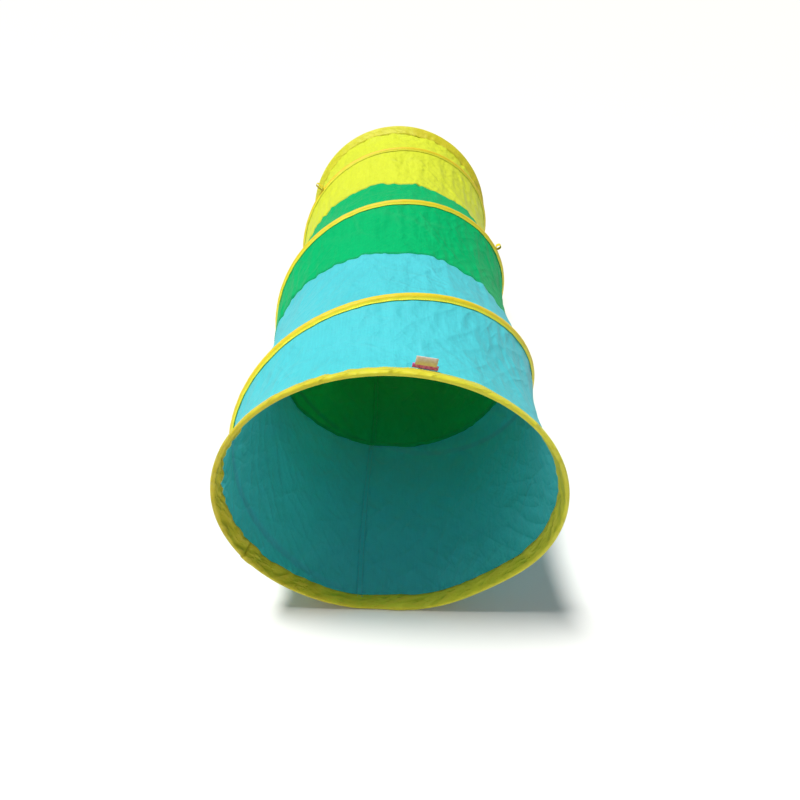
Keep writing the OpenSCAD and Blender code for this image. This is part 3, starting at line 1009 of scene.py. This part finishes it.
def make_stitches(name, middles, ways, outs, material):
    """One mesh of short thread stitches, each at a middle, along a way, standing off along an out."""
    ways = ways / np.linalg.norm(ways, axis=1, keepdims=True)
    sides = np.cross(ways, outs)
    sides /= np.linalg.norm(sides, axis=1, keepdims=True)
    ups = np.cross(sides, ways)
    shape = STITCH_SHAPE * (STITCH_LENGTH, STITCH_WIDTH, STITCH_WIDTH)
    points = middles[:, None] + sum(
        shape[None, :, k:k + 1] * axes[:, None] for k, axes in enumerate((ways, sides, ups))
    )
    quads = [(1 + k, 1 + (k + 1) % 4, 5 + (k + 1) % 4, 5 + k) for k in range(4)]
    starts = [(0, 1 + (k + 1) % 4, 1 + k) for k in range(4)]
    ends = [(9, 5 + k, 5 + (k + 1) % 4) for k in range(4)]
    size = len(shape)
    faces = [tuple(n * size + c for c in f) for n in range(len(middles)) for f in quads + starts + ends]
    along = np.arange(len(middles))[:, None] * STITCH + shape[None, :, 0]
    return make_piece(name, points, faces, material, places(along, shape[None, :, 1]))


def path_stitches(path):
    """Middles and ways of stitches spaced along a path of points, and their places in it, from 0 to 1."""
    steps = np.linalg.norm(np.diff(path, axis=0), axis=1)
    run = np.concatenate([[0], np.cumsum(steps)])
    at = np.arange(STITCH / 2, run[-1], STITCH)
    middles, ahead, behind = (
        np.stack([np.interp(at + move, run, path[:, k]) for k in range(3)], axis=1)
        for move in (0, STITCH / 3, -STITCH / 3)
    )
    return middles, ahead - behind, np.interp(at, run, np.linspace(0, 1, len(path)))


def out_at(angle):
    """The direction out of the tunnel at an angle."""
    return np.array([-math.sin(angle), 0, -math.cos(angle)])


def outs_at(middles):
    """Directions out of the tunnel at some points."""
    out = middles - np.array([0, 0, RADIUS - SAG])
    out[:, 1] = 0
    return out / np.linalg.norm(out, axis=1, keepdims=True)


def sew(name, lines, material, body=None, bay=None, weights=None):
    """Rows of stitches as one piece, which rides on a body, or else goes to fold_with, which does not fold
    it. lines has each row's path and the side that its stitches face, 1 for the outside. weights has a share
    for each point of a path."""
    rows = []
    for path, facing in lines:
        middles, ways, place = path_stitches(path)
        mine = place if weights is None else np.interp(place, np.linspace(0, 1, len(path)), weights)
        rows.append((middles, ways, outs_at(middles) * facing, mine))
    middles, ways, outs, shares = (np.concatenate(part) for part in zip(*rows))
    threads = make_stitches(name, middles, ways, outs, material)
    if body is None:
        fold_with(threads, bay, shares)
    stand_for(threads, body=body)


# ---- Coil: wire and casing ----

COIL_FROM = -7.5 * DEGREE
COIL_TO = 1072.5 * DEGREE
SPLITS = (float(coil_angle(SEAM_1)), float(coil_angle(SEAM_2)))
LEAVING = 20 * DEGREE
HOOP_INSET = 0.0033
HOOP_Y = 0.0032
WIRE_SIDES = 12


def stretch_of_coil(bay, first, last, step):
    """Angles along a bay's part of the coil, which runs from first to last in all, and its fold weights."""
    stops = (first, *SPLITS, last)
    count = int((stops[bay + 1] - stops[bay]) / step) + 1
    angles = np.linspace(stops[bay], stops[bay + 1], count)
    return angles, bay_weight(bay, angles, coil_y(angles))


def make_coil_wire(bay):
    angles, weights = stretch_of_coil(bay, COIL_FROM, COIL_TO, 1.5 * DEGREE)
    v = cloth_y(coil_y(angles), angles)
    out_of_hem = smooth_step((angles - COIL_FIRST) / LEAVING) * smooth_step((COIL_LAST - angles) / LEAVING)
    out_of_hem = out_of_hem[:, None]
    in_hem = wall(angles, HOOP_INSET, coil_y(angles))
    over_cloth = on_cloth(angles, np.clip(v, PANEL_EDGE, LENGTH - PANEL_EDGE), WIRE_R + 0.0004)
    centre = in_hem * (1 - out_of_hem) + over_cloth * out_of_hem
    way = np.gradient(centre, axis=0)
    way /= np.linalg.norm(way, axis=1, keepdims=True)
    side = np.cross(way, outs_at(centre))
    side /= np.linalg.norm(side, axis=1, keepdims=True)
    up = np.cross(side, way)
    around = (np.arange(WIRE_SIDES) * TURN / WIRE_SIDES)[None, :, None]
    points = centre[:, None] + WIRE_R * (np.cos(around) * side[:, None] + np.sin(around) * up[:, None])
    faces = outward(points, band_faces(len(angles), WIRE_SIDES, False))
    piece = make_piece(f"coil_wire_{bay + 1}_round", points, faces, spring_steel)
    fold_with(piece, bay, weights)
    stand_for(piece, f"coil_wire_{bay + 1}")


def casing_height(q):
    """How far the tape stands off the cloth, at a distance from its middle. Its edges curl up a little."""
    hump_half, hump_height = 0.0060, 0.0044
    curl_starts, curl_height = 0.78, 0.0006
    t = np.clip(np.abs(q) / hump_half, 0, 1)
    curl = np.clip(np.abs(q) / CASING_HALF - curl_starts, 0, 1) / (1 - curl_starts)
    return CLOTH_FOOT + hump_height * np.cos(t * math.pi / 2) ** 0.8 + curl_height * curl ** 2


def make_casing(bay):
    angles, weights = stretch_of_coil(bay, CASING_FIRST, CASING_LAST, 1.0 * DEGREE)
    v = cloth_y(coil_y(angles), angles)
    q = np.array([-1, -0.9, -0.8, -0.72, -0.64, -0.54, -0.42, -0.22, 0]) * CASING_HALF
    q = np.concatenate([q, -q[-2::-1]])
    wander = 0.0004 * noise(angles[:, None] * 14, np.sign(q)[None, :] * 3, 51 + bay)
    width = q[None, :] + wander * np.abs(q[None, :]) / CASING_HALF
    at = np.clip(v[:, None] + width, PANEL_EDGE, LENGTH - PANEL_EDGE)
    ripple = 0.0002 * noise(angles[:, None] * 34, q[None, :] * 400, 61 + bay)
    low = casing_height(q)[None, :] + ripple
    upper = on_cloth(angles[:, None], at, low + TAPE_T)
    lower = on_cloth(angles[:, None], at, low)
    upper[..., 2] = np.maximum(upper[..., 2], TAPE_CLEAR)
    lower[..., 2] = np.maximum(lower[..., 2], TAPE_CLEAR + TAPE_T)
    run = angles * (RADIUS ** 2 + (PITCH / TURN) ** 2) ** 0.5
    piece = make_band(f"coil_casing_{bay + 1}_tape", upper, lower, run, q, casing_tape)
    fold_with(piece, bay, weights)
    stand_for(piece, f"coil_casing_{bay + 1}")
    edges = [(on_cloth(angles, v + edge * CASING_HALF, CLOTH_FOOT + TAPE_T), 1) for edge in (-0.80, 0.80)]
    sew(f"coil_stitches_{bay + 1}", edges, yellow_thread, bay=bay, weights=weights)


# ---- End hoops, hems and their stitches ----

HEM_STEPS = 480
HEM_LAP = 6


def make_hoop_wire(name, node, body, y, leaned):
    rings = 360
    angles = (np.arange(rings) * DEGREE)[:, None]
    around = (np.arange(WIRE_SIDES) * TURN / WIRE_SIDES)[None, :]
    points = wall(angles, HOOP_INSET + WIRE_R * np.sin(around), y + WIRE_R * np.cos(around), leaned)
    faces = outward(points, band_faces(rings, WIRE_SIDES, True))
    piece = make_piece(name, points, faces, spring_steel)
    stand_for(piece, node, body)


def hem_layer(outer, angles, rear, lap, deeper=0.0):
    """One layer of a hem: rings of points, crinkled towards its sewn edge. lap lifts one end over the other,
    and the layer bulges over the ferrule."""
    a = angles[:, None]
    s, inset = hem_profile(outer, rear, flare_of(a, rear))
    s = s * HEM_W / HEM_EDGE
    ferrule = (-11.25 if rear else -3.75) * DEGREE
    bulge = 0.0011 * np.exp(-(away_from(a, ferrule) / (5 * DEGREE)) ** 2)
    inset = inset + hem_crinkle(a, s, rear) + deeper + (-lap - 0.4 * bulge if outer else lap + bulge)
    place = s + 0.0008 * noise(a * 40 / TURN, 0.5, 79 if rear else 74, 40) * smooth_step(s / HEM_W)
    place = place - (lap + bulge) * (1 - smooth_step(s / 0.005))
    return wall(a, inset, LENGTH - place if rear else place, 0.0 if rear else 1.0)


def make_hem(name, node, body, rear):
    """A band folded over the hoop, with the cloth's edge between its layers. Its ends lap past each other."""
    rings = HEM_STEPS + HEM_LAP
    join = (298 if rear else 62) * DEGREE
    angles = join + np.arange(rings) * TURN / HEM_STEPS
    lap = (HEM_T + HEM_GAP) * smooth_step((np.arange(rings)[:, None] - HEM_STEPS + 4) / 5)
    outer, inner, inner_in, outer_in = (
        hem_layer(is_outer, angles, rear, lap, deeper)
        for is_outer, deeper in ((True, 0.0), (False, 0.0), (False, -HEM_T), (True, HEM_T))
    )
    tuck = np.zeros(len(OUTER_S))
    tuck[:3] = (HEM_T, HEM_T * 0.8, HEM_T * 0.4)
    for layer in (inner_in, outer_in):
        layer[..., 1] += (-1 if rear else 1) * tuck[None, :]
    points = np.concatenate([outer[:, ::-1], inner[:, 1:], inner_in[:, ::-1], outer_in[:, 1:]], axis=1)
    faces = outward(points, band_faces(rings, points.shape[1], False))
    width = np.array(OUTER_S)
    across = np.concatenate([-width[::-1], width[1:], width[::-1], -width[1:]])
    cloth = places((angles * RADIUS)[:, None], across[None, :])
    piece = make_piece(name, points, faces, rear_tape if rear else front_tape, cloth)
    stand_for(piece, node, body)

    lines = []
    for is_outer, off, facing in ((True, -0.0001, 1), (False, 0.0001, -1)):
        layer = hem_layer(is_outer, angles, rear, lap, off)
        lines.append((layer[:, -2] * 0.6 + layer[:, -1] * 0.4, facing))
    sew(name.replace("band", "stitches"), lines, yellow_thread, body)


# ---- Seams inside the tunnel ----


def make_joining_seam(name, node, body, seam_y, material, thread, slot, seed):
    """The doubled allowance round the inside, with two rows of stitches, and one row outside."""
    rings = 433
    angles = BOTTOM_ANGLE + np.arange(rings) * TURN / (rings - 1)
    a = angles[:, None]
    half = 0.0050
    q = np.linspace(-half, half, 7)
    edge = 0.0006 * noise(a * 60 / TURN, np.sign(q)[None, :] * 2, seed, 60)
    at = seam_y + q[None, :] + edge * (np.abs(q)[None, :] / half)
    lift = 0.0004 + 0.0004 * noise(a * 90 / TURN, q[None, :] * 300, seed + 1, 90) ** 2
    near = on_cloth(a, at, -(FABRIC_T + 0.0002))
    deep = on_cloth(a, at, -(FABRIC_T + 0.0009 + lift))
    piece = make_band(name, near, deep, angles * RADIUS, q, material)
    stand_for(piece, node, body)
    threads = name.replace("allowance", "threads")
    inside = -(FABRIC_T + 0.0014)
    lines = [
        (on_cloth(angles, seam_y + offset, off), facing)
        for offset, off, facing in ((-0.003, inside, -1), (0.003, inside, -1), (0.0032, 0.0001, 1))
    ]
    sew(threads, lines, thread, body)


def make_bottom_seam(bay, name, node, material, thread):
    """The doubled allowance that closes a panel to a tube, along the underside, with two rows of stitches."""
    stops = (HEM_W - 0.004, SEAM_1, SEAM_2, LENGTH - HEM_W + 0.004)
    clear = 0.0052
    first = stops[bay] + (0.0 if bay == 0 else clear)
    last = stops[bay + 1] - (0.0 if bay == 2 else clear)
    v = np.linspace(first, last, 120)
    drift = BOTTOM_ANGLE + 1.2 * DEGREE * np.sin(v * 9 + bay)
    q = np.linspace(-0.0055, 0.0055, 7)
    angle = drift[:, None] + q[None, :] / RADIUS
    lift = 0.0003 * noise(v[:, None] * 70, q[None, :] * 300, 81 + bay)
    near = on_cloth(angle, v[:, None], -(FABRIC_T + 0.0002))
    deep = on_cloth(angle, v[:, None], -(FABRIC_T + 0.0011) - lift)
    piece = make_band(name, near, deep, v, q, material)
    weights = bay_weight(bay, drift, v + lean_at(drift) * lean_share(v))
    fold_with(piece, bay, weights)
    stand_for(piece, node)
    lines = [(on_cloth(drift + side / RADIUS, v, -(FABRIC_T + 0.0013)), -1) for side in (-0.0036, 0.0036)]
    sew(f"{name}_threads", lines, thread, bay=bay, weights=weights)


# ---- Label and tie loops ----

LABEL_ANGLE = 189 * DEGREE
LABEL_W = 0.025
STRIP_W = 0.030
STRIP_H = 0.0060
LABEL_T = 0.0004
LOOP_W = 0.0098
ALONG_Y = np.array([0, 1.0, 0])


def ribbon_along(name, profile, foot, up, across, wide, width, thickness, material):
    """A flat ribbon, and its length. Its path is given by a profile of (distance along up, distance along
    across) points, and its width lies along wide."""
    path = foot + profile[:, :1] * up + profile[:, 1:] * across
    slope = np.gradient(profile, axis=0)
    slope /= np.linalg.norm(slope, axis=1, keepdims=True)
    outs = slope[:, :1] * across - slope[:, 1:] * up
    q = np.linspace(-0.5, 0.5, 9)
    base = path[:, None] + q[None, :, None] * width * wide
    half = outs[:, None] * thickness / 2
    run = np.concatenate([[0], np.cumsum(np.linalg.norm(np.diff(path, axis=0), axis=1))])
    return make_band(name, base + half, base - half, run, q * width, material), float(run[-1])


def folded_label(name, node, foot, out, side, width, height, bow, material):
    """A ribbon folded over once along its top, which stands from its foot along out and bows a little."""
    t = np.linspace(0, 1, 15)
    bend = bow * np.sin(t * math.pi * 0.8)
    gap, top = 0.00045, height - 0.0005
    front = [(h * top, b - gap) for h, b in zip(t, bend)]
    fold = [(top + 0.0005 * math.sin(k), bend[-1] - gap * math.cos(k)) for k in (0.8, 1.57, 2.3)]
    back = [(h * top, b + gap) for h, b in zip(t[::-1], bend[::-1])]
    profile = np.array(front + fold + back)
    piece = ribbon_along(name, profile, foot, out, ALONG_Y, side, width, LABEL_T, material)[0]
    stand_for(piece, node, "front_end")


def make_label():
    """A folded woven label standing in the hem's seam, with a coloured strip at its foot."""
    label_low, label_high = (np.array(corner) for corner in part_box("care_label"))
    strip_low, strip_high = (np.array(corner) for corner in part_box("label_strip"))
    out = out_at(LABEL_ANGLE)
    side = np.array([out[2], 0, -out[0]])
    sunk = out * (FRONT_OUTER[-1] - COIL_SUPPORT)
    height = label_high[2] - label_low[2] - 0.004
    foot = (label_low + label_high) / 2 - out * height / 2 - sunk
    folded_label("care_label_folded", "care_label", foot, out, side,
                 LABEL_W, height, -0.0020, label_cloth)
    foot = (strip_low + strip_high) / 2 - out * STRIP_H / 2 - sunk
    folded_label("label_strip_woven", "label_strip", foot, out, side,
                 STRIP_W, STRIP_H, -0.0003, strip_cloth)


def make_tie_loop(name, node, body, angle, top):
    """A ribbon folded into a loop, with both ends sewn down across the coil's casing."""
    out = out_at(angle)
    side = np.array([out[2], 0, -out[0]])
    centre = np.array([0, MOUTH_Y + float(coil_y(angle)), RADIUS - SAG]) + out * (RADIUS + 0.0003)
    half = 0.0036
    foot = [(0.0004, x) for x in np.linspace(-0.0008, half - 0.0012, 4)]
    rise = [(h, half + 0.0005 * math.sin(h * 300)) for h in np.linspace(0.0022, top, 8)]
    crown = [(top + half * math.sin(k), half * math.cos(k)) for k in np.linspace(0.3, math.pi - 0.3, 9)]
    fall = [(h, -half - 0.0004 * math.sin(h * 260)) for h in np.linspace(top, 0.0022, 8)]
    close = [(0.0013, -x) for x in np.linspace(half - 0.0012, -0.0008, 4)]
    profile = np.array(foot + rise + crown + fall + close)
    piece, run = ribbon_along(name, profile, centre, out, side, ALONG_Y, LOOP_W, TAPE_T, casing_tape)
    stand_for(piece, node, body)


# ---- Put it together ----

JOINING_SEAMS = (
    ("teal_green", "first_station", SEAM_1, green_cloth, green_thread, "green_fabric", 91),
    ("green_yellow", "second_station", SEAM_2, lime_cloth, yellow_thread, "yellow_fabric", 95),
)

make_panels()
for number in range(3):
    make_coil_wire(number)
    make_casing(number)
make_hoop_wire("front_hem_wire", "front_hoop_wire", "front_end", HOOP_Y, 1.0)
make_hoop_wire("rear_hem_wire", "rear_hoop_wire", "rear_end", LENGTH - HOOP_Y, 0.0)
make_hem("front_hem_band", "front_hem", "front_end", False)
make_hem("rear_hem_band", "rear_hem", "rear_end", True)
for colours, *rest in JOINING_SEAMS:
    make_joining_seam(f"{colours}_allowance", f"{colours}_seam", *rest)
for number, thread in enumerate((teal_thread, green_thread, yellow_thread)):
    _, panel_node, fabric, fabric_slot = PANELS[number]
    colour_name = panel_node.removesuffix("_panel")
    make_bottom_seam(number, f"{colour_name}_bottom_allowance", f"{colour_name}_bottom_seam",
                     fabric, thread)
make_label()
make_tie_loop("right_tie_ribbon", "right_tie_loop", "right_loop", RIGHT_LOOP, 0.0072)
make_tie_loop("left_tie_ribbon", "left_tie_loop", "left_loop", LEFT_LOOP, 0.0150)

for ferrule in ("front_ferrule", "rear_ferrule"):
    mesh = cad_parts[ferrule].data
    mesh.materials.clear()
    mesh.materials.append(ferrule_metal)
